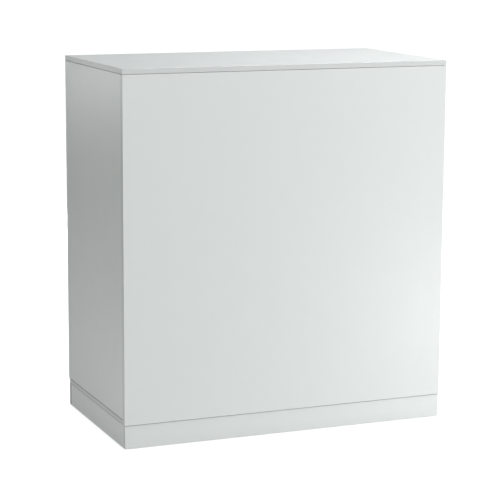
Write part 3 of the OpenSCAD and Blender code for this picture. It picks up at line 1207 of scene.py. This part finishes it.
@dataclass
class BattenFrame:
    """The square pine frame inside the panels, with its felt dots."""

    body: str = "box"
    felt_radius: float = 0.006
    felt_steps: int = 36

    def build(self) -> list[Object3D]:
        """Dress the battens and lay the felt dots.

        Returns:
            The pieces.
        """
        levels = ("top", "mid", "bottom")
        long_rails = [f"{level}_rail_{side}" for level in levels for side in ("front", "back")]
        cross_rails = [f"{level}_rail_{side}" for level in levels for side in ("left", "right")]
        pieces = dress_sticks([f"post_{corner}" for corner in CORNERS], Grain.ALONG_Z, PINE)
        pieces += dress_sticks(long_rails, Grain.ALONG_X, PINE)
        pieces += dress_sticks([*cross_rails, "top_rail_middle"], Grain.ALONG_Y, PINE)
        pieces.append(self.felt_dots())
        return pieces

    def felt_dots(self) -> Object3D:
        """Build the six felt dots on top of the frame as one piece.

        Returns:
            The felt.
        """
        low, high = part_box("felt_pads")
        top = high.z - low.z
        r = self.felt_radius
        profile = [(0.0, 0.0), (r * 0.5, 0.0), (r * 0.94, 0.0), (r, top * 0.3), (r, top * 0.72)]
        profile += [(r * 0.96, top * 0.93), (r * 0.88, top), (r * 0.5, top), (0.0, top)]
        draw = random.Random("felt")
        dots = []
        for x in (low.x + r, (low.x + high.x) / 2, high.x - r):
            for y in (low.y + r, high.y - r):
                fray = [draw.uniform(0.965, 1.0) for _ in range(self.felt_steps)]
                centre = Vector((x, y, low.z))
                dots.append(turned("felt_dot", profile, centre, self.felt_steps, self.frayed(fray)))
        joined = bmesh.new()
        for dot in dots:
            joined.from_mesh(dot.data)
            bpy.data.objects.remove(dot)
        made = dress(piece("felt_dots", joined), WoolFelt().material())
        return mount(made, self.body, Slot.FELT, "felt_pads")

    def frayed(self, fray: list[float]) -> Shaper:
        """Return a shape that pulls each corner of a ring in by its own share.

        Args:
            fray: The share of the radius that each corner keeps.

        Returns:
            The shape.
        """

        def shape(radius: float, height: float, angle: float) -> tuple[float, float]:
            """Scale the radius by the fray at this angle."""
            return radius * fray[round(angle / math.tau * len(fray)) % len(fray)], height

        return shape


@dataclass
class RecessedBase:
    """The recessed base: four boards, the bearer and the corner blocks."""

    body: str = "box"
    boards: tuple[PaintedBoard, ...] = (
        PaintedBoard("base_face_front", "base_board_front", Facing.BACK),
        PaintedBoard("base_face_back", "base_board_back", Facing.FRONT),
        PaintedBoard("base_face_left", "base_board_left", Facing.RIGHT),
        PaintedBoard("base_face_right", "base_board_right", Facing.LEFT),
    )

    def build(self) -> list[Object3D]:
        """Build the boards and dress the timber behind them.

        Returns:
            The pieces.
        """
        pieces = [board.build(self.body) for board in self.boards]
        pieces += dress_sticks(["base_bearer"], Grain.ALONG_Y, PINE)
        pieces += dress_sticks([f"corner_block_{corner}" for corner in CORNERS], Grain.ALONG_X, PINE)
        return pieces


@dataclass
class Fastenings:
    """The screws, dowels and threaded inserts, dressed where they lie."""

    screws: tuple[str, ...] = (
        "side_panel_screws",
        "front_panel_screws",
        "back_panel_screws",
        "rail_screws",
        "base_screws",
    )
    dowels: tuple[tuple[str, Grain], ...] = (
        ("frame_dowels", Grain.ALONG_X),
        ("deck_dowels", Grain.ALONG_Z),
        ("base_dowels", Grain.ALONG_Y),
    )

    def build(self) -> list[Object3D]:
        """Dress the fastenings.

        Returns:
            The nodes.
        """
        yellow = bpy.data.materials["yellow_zinc_plate"]
        pieces = [dress(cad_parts[name], yellow) for name in self.screws]
        for name, grain in self.dowels:
            pieces += dress_sticks([name], grain, BEECH)
        pieces.append(dress(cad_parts["foot_inserts"], ZINC.material()))
        return pieces


@dataclass
class LevellingFeet:
    """Four levelling feet: a moulded pad that a ball stud turns in."""

    ball_height: float = 7 * MM
    ball_radius: float = 5 * MM
    neck_radius: float = 3.6 * MM
    collar_low: float = 12 * MM
    collar_high: float = 18 * MM
    collar_radius: float = 7.5 * MM
    crest_radius: float = 4 * MM
    root_radius: float = 3.35 * MM
    pitch: float = 1.25 * MM
    stud_top: float = 62 * MM
    socket_clear: float = 0.05 * MM
    socket_lip_deg: float = 33.0
    socket_steps: int = 8
    ribs: int = 8
    rib_half_width: float = 0.8 * MM
    rib_inner: float = 9.0 * MM
    rib_outer: float = 17.6 * MM
    rib_low: float = 3.5 * MM
    rib_crown: float = 8.2 * MM
    rib_slope: float = 0.5
    ball_end_deg: float = 44.0
    ball_steps: int = 10
    crest_share: float = 0.125
    flank_share: float = 0.625
    pad_steps: int = 96
    stud_steps: int = 48
    rings_per_turn: int = 10

    def build(self) -> list[Object3D]:
        """Build the pads and studs of all four feet.

        Returns:
            The pieces.
        """
        nylon = MouldedNylon().material()
        zinc = bpy.data.materials["zinc_plate"]
        pieces = []
        for corner in CORNERS:
            low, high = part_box(f"foot_pad_{corner}")
            centre = Vector(((low.x + high.x) / 2, (low.y + high.y) / 2, low.z))
            pad = turned(f"glide_{corner}", self.pad_profile(), centre, self.pad_steps, self.ribbed)
            pieces.append(mount(dress(pad, nylon), f"pad_{corner}", Slot.NYLON, f"foot_pad_{corner}"))
            stud = turned(f"ball_stud_{corner}", self.stud_profile(), centre, self.stud_steps, self.threaded)
            pieces.append(mount(dress(stud, zinc), f"stud_{corner}", Slot.ZINC, f"foot_stud_{corner}"))
        return pieces

    def pad_profile(self) -> Profile:
        """Return the pad's profile: flat sole, rounded rim, skirt, neck and ball socket."""
        sole = [(0.0, 0.2), (1.4, 0.2), (1.6, 0.0), (9.0, 0.0), (18.0, 0.0)]
        rim = [(18.6, 0.15), (18.9, 0.5), (19.0, 1.1), (19.0, 2.4), (18.9, 2.9), (18.6, 3.3)]
        skirt = [(18.0, 3.6), (17.2, 3.8), (16.0, 3.95), (14.5, 4.1), (13.0, 4.3), (11.5, 4.6)]
        neck = [(10.3, 5.0), (9.4, 5.6), (8.8, 6.4), (8.5, 7.4), (8.4, 8.8), (8.2, 9.4)]
        mouth = [(7.8, 9.8), (7.2, 10.0), (5.4, 10.0), (4.7, 9.95)]
        outside = [(r * MM, z * MM) for r, z in sole + rim + skirt + neck + mouth]

        socket_radius = self.ball_radius + self.socket_clear
        sweep = self.socket_lip_deg + 90.0
        socket = []
        for step in range(self.socket_steps + 1):
            angle = math.radians(self.socket_lip_deg - sweep * step / self.socket_steps)
            r = socket_radius * math.cos(angle) if step < self.socket_steps else 0.0
            socket.append((r, self.ball_height + socket_radius * math.sin(angle)))
        return outside + socket

    def ribbed(self, radius: float, height: float, angle: float) -> tuple[float, float]:
        """Raise the skirt of the pad where a rib crosses it.

        Args:
            radius: The ring's radius.
            height: The ring's height.
            angle: Where on the ring.

        Returns:
            Radius and height there.
        """
        on_skirt = self.rib_inner < radius < self.rib_outer and height > self.rib_low
        if not on_skirt:
            return radius, height
        step = math.tau / self.ribs
        off = abs((angle + step / 2) % step - step / 2) * radius
        crown = self.rib_crown - (radius - self.rib_inner) * self.rib_slope
        foot, flank = 1.6 * self.rib_half_width, 0.8 * self.rib_half_width
        share = max(0.0, min(1.0, (foot - off) / flank))
        return radius, max(height, height + (crown - height) * share)

    def stud_profile(self) -> Profile:
        """Return the stud's profile: ball, neck, hexagon collar and threaded shank."""
        rings: Profile = [(0.0, self.ball_height - self.ball_radius)]
        sweep = 90.0 + self.ball_end_deg
        for step in range(1, self.ball_steps + 1):
            angle = math.radians(-90.0 + sweep * step / self.ball_steps)
            r = self.ball_radius * math.cos(angle)
            rings.append((max(r, self.neck_radius), self.ball_height + self.ball_radius * math.sin(angle)))
        fillet = 0.2 * MM
        rings.append((self.neck_radius, self.collar_low - fillet))
        rings.append((self.neck_radius + fillet, self.collar_low))
        rise = self.collar_high - self.collar_low
        rings += [
            (self.collar_radius * share, self.collar_low + rise * up)
            for share, up in ((0.8, 0.0), (0.9, 0.06), (1.0, 0.15), (1.0, 0.85), (0.9, 0.94), (0.8, 1.0))
        ]
        rings.append((self.crest_radius, self.collar_high))
        spacing = self.pitch / self.rings_per_turn
        count = int((self.stud_top - self.collar_high) / spacing)
        rings += [(self.crest_radius, self.collar_high + spacing * k) for k in range(1, count)]
        rings += [(self.root_radius, self.stud_top), (0.0, self.stud_top)]
        return rings

    def threaded(self, radius: float, height: float, angle: float) -> tuple[float, float]:
        """Cut the collar's flats and the shank's thread.

        Args:
            radius: The ring's radius.
            height: The ring's height.
            angle: Where on the ring.

        Returns:
            Radius and height there.
        """
        clear_of_neck = 5.5 * MM
        run_out = 0.3 * MM
        if self.collar_low <= height <= self.collar_high and radius > clear_of_neck:
            sixth = math.tau / 6
            flat = self.collar_radius * math.cos(sixth / 2)
            across = flat / math.cos((angle + sixth / 2) % sixth - sixth / 2)
            return min(radius, across), height
        if height <= self.collar_high + run_out or radius < self.crest_radius:
            return radius, height
        phase = (height / self.pitch - angle / math.tau) % 1.0
        depth = max(0.0, min(1.0, (abs(phase - 0.5) * 2 - self.crest_share) / self.flank_share))
        lead_in = (self.stud_top - height) / self.pitch + 0.4
        fade = min(1.0, (height - self.collar_high) / self.pitch, lead_in)
        return self.crest_radius - (self.crest_radius - self.root_radius) * depth * fade, height


# ----------------------------------------------------------------------- studio


@dataclass(frozen=True)
class Softbox:
    """One soft lamp of the studio."""

    name: str
    place: tuple[float, float, float]
    aim: tuple[float, float, float]
    size: tuple[float, float]
    watts: float
    colour: Colour = (1.0, 1.0, 1.0)

    def hang(self) -> Object3D:
        """Hang the lamp, unseen by the camera.

        Returns:
            The lamp.
        """
        data = bpy.data.lights.new(self.name, "AREA")
        data.shape = "RECTANGLE"
        data.size, data.size_y = self.size
        data.energy = self.watts
        data.color = self.colour
        lamp = bpy.data.objects.new(self.name, data)
        lamp.location = self.place
        way = Vector(self.aim) - Vector(self.place)
        lamp.rotation_euler = way.to_track_quat("-Z", "Y").to_euler()
        lamp.visible_camera = False
        bpy.context.scene.collection.objects.link(lamp)
        return lamp


@dataclass
class Studio:
    """The pale floor, the white room, the lamps and the camera."""

    floor_reach: float = 45.0
    floor_steps: int = 96
    floor_dark: Colour = (0.50, 0.50, 0.50)
    floor_pale: Colour = (0.53, 0.53, 0.53)
    floor_clouds_per_metre: float = 1.5
    near_glow: float = 0.8
    far_glow: float = 1.0
    shade_start: float = 1.2
    shade_end: float = 3.5
    room_light: float = 0.16
    room_seen: Colour = (1.0, 1.0, 1.0)
    room_tint: Colour = (0.98, 1.0, 1.0)
    eye: tuple[float, float, float] = (-2.135, -5.153, 1.518)
    heading_deg: float = -22.42
    tilt_deg: float = -10.25
    roll_deg: float = 0.30
    lens_mm: float = 132.55
    sensor_mm: float = 36.0
    lamps: tuple[Softbox, ...] = (
        Softbox("key_right", (2.7, -2.1, 0.75), (0.2, -0.2, 0.5), (1.4, 1.4), 26.5, (0.98, 0.99, 0.95)),
        Softbox("low_right", (1.05, -1.15, 0.14), (0.45, -0.27, 0.12), (0.5, 0.2), 2.2),
        Softbox("fill_front", (-1.2, -5.6, 1.1), (0.0, -0.2, 0.45), (2.4, 2.0), 75.5, (0.99, 0.99, 1.0)),
        Softbox("fill_left", (-3.8, -1.2, 1.0), (-0.5, 0.0, 0.5), (2.0, 1.6), 23.0, (0.96, 1.0, 0.92)),
        Softbox("overhead", (1.15, -0.6, 3.3), (0.35, 0.0, 1.0), (2.0, 1.6), 85.0),
        Softbox("crown_strip", (-0.655, 0.0, 1.06), (-0.51, 0.0, 1.04), (0.7, 0.04), 0.115),
        Softbox("low_left", (-1.05, 0.0, 0.03), (-0.51, 0.0, 0.08), (1.0, 0.04), 0.67, (1.0, 0.97, 1.0)),
        Softbox("back_wash", (0.4, 4.2, 0.7), (0.0, 0.2, 0.5), (2.6, 0.7), 70.0),
    )

    def build(self) -> None:
        """Set up the studio."""
        self.lay_floor()
        self.light_room()
        for lamp in self.lamps:
            lamp.hang()
        self.set_camera()
        settings = bpy.context.scene.view_settings
        settings.view_transform = "Standard"
        settings.look = "None"

    def lay_floor(self) -> Object3D:
        """Lay the round pale floor.

        Returns:
            The floor.
        """
        bm = bmesh.new()
        bmesh.ops.create_circle(bm, cap_ends=True, segments=self.floor_steps, radius=self.floor_reach)
        floor = piece("floor", bm)
        coat = Coat("pale_floor")
        cloud = coat.noise(coat.where, self.floor_clouds_per_metre, 4.0, 0.5)
        coat.show("Base Color", coat.blended(cloud, self.floor_dark, self.floor_pale))
        coat.show("Roughness", coat.spread(cloud, 0.65, 0.75))
        away = coat.vector("LENGTH", coat.where).outputs["Value"]
        open_floor = coat.eased(away, self.shade_start, self.shade_end)
        glow = coat.spread(open_floor, self.near_glow, self.far_glow)
        lit = coat.node("Emission")
        coat.feed(lit.inputs["Strength"], glow)
        both = coat.node("AddShader")
        coat.feed(both.inputs[0], coat.shader.outputs["BSDF"])
        coat.feed(both.inputs[1], lit.outputs[0])
        coat.feed(coat.surface, coat.seen_as(both.outputs[0], coat.shader.outputs["BSDF"]))
        dress(floor, coat.material)
        return floor

    def light_room(self) -> None:
        """Make the room white to the eye, and dimmer as a light."""
        world = bpy.data.worlds.new("white_room")
        world.use_nodes = True
        bench = Wiring(world.node_tree)
        world.node_tree.nodes.clear()
        seen = bench.node("Background")
        light = bench.node("Background")
        seen.inputs["Color"].default_value = opaque(self.room_seen)
        light.inputs["Color"].default_value = opaque(self.room_tint)
        light.inputs["Strength"].default_value = self.room_light
        ending = bench.node("OutputWorld").inputs["Surface"]
        bench.feed(ending, bench.seen_as(seen.outputs[0], light.outputs[0]))
        bpy.context.scene.world = world

    def set_camera(self) -> Object3D:
        """Stand the camera in front of the plinth's left corner.

        Returns:
            The camera.
        """
        data = bpy.data.cameras.new("camera")
        data.sensor_width = self.sensor_mm
        data.lens = self.lens_mm
        camera = bpy.data.objects.new("camera", data)
        level = math.radians(90.0 + self.tilt_deg)
        turn = Euler((level, 0.0, math.radians(self.heading_deg))).to_matrix()
        turn = turn @ Matrix.Rotation(math.radians(self.roll_deg), 3, "Z")
        camera.matrix_world = Matrix.Translation(self.eye) @ turn.to_4x4()
        bpy.context.scene.collection.objects.link(camera)
        bpy.context.scene.camera = camera
        return camera


def main() -> None:
    """Build the plinth's sub-assemblies in order, then the studio, and report each piece."""
    logging.basicConfig(level=logging.INFO, format="%(message)s")
    upper = (LiftOffTop(), BoardBox(), BattenFrame())
    lower = (RecessedBase(), Fastenings(), LevellingFeet())
    for assembly in upper + lower:
        for made in assembly.build():
            LOG.info("%s: %s, %d faces", type(assembly).__name__, made.name, len(made.data.polygons))
    Studio().build()


if __name__ == "__main__":
    main()
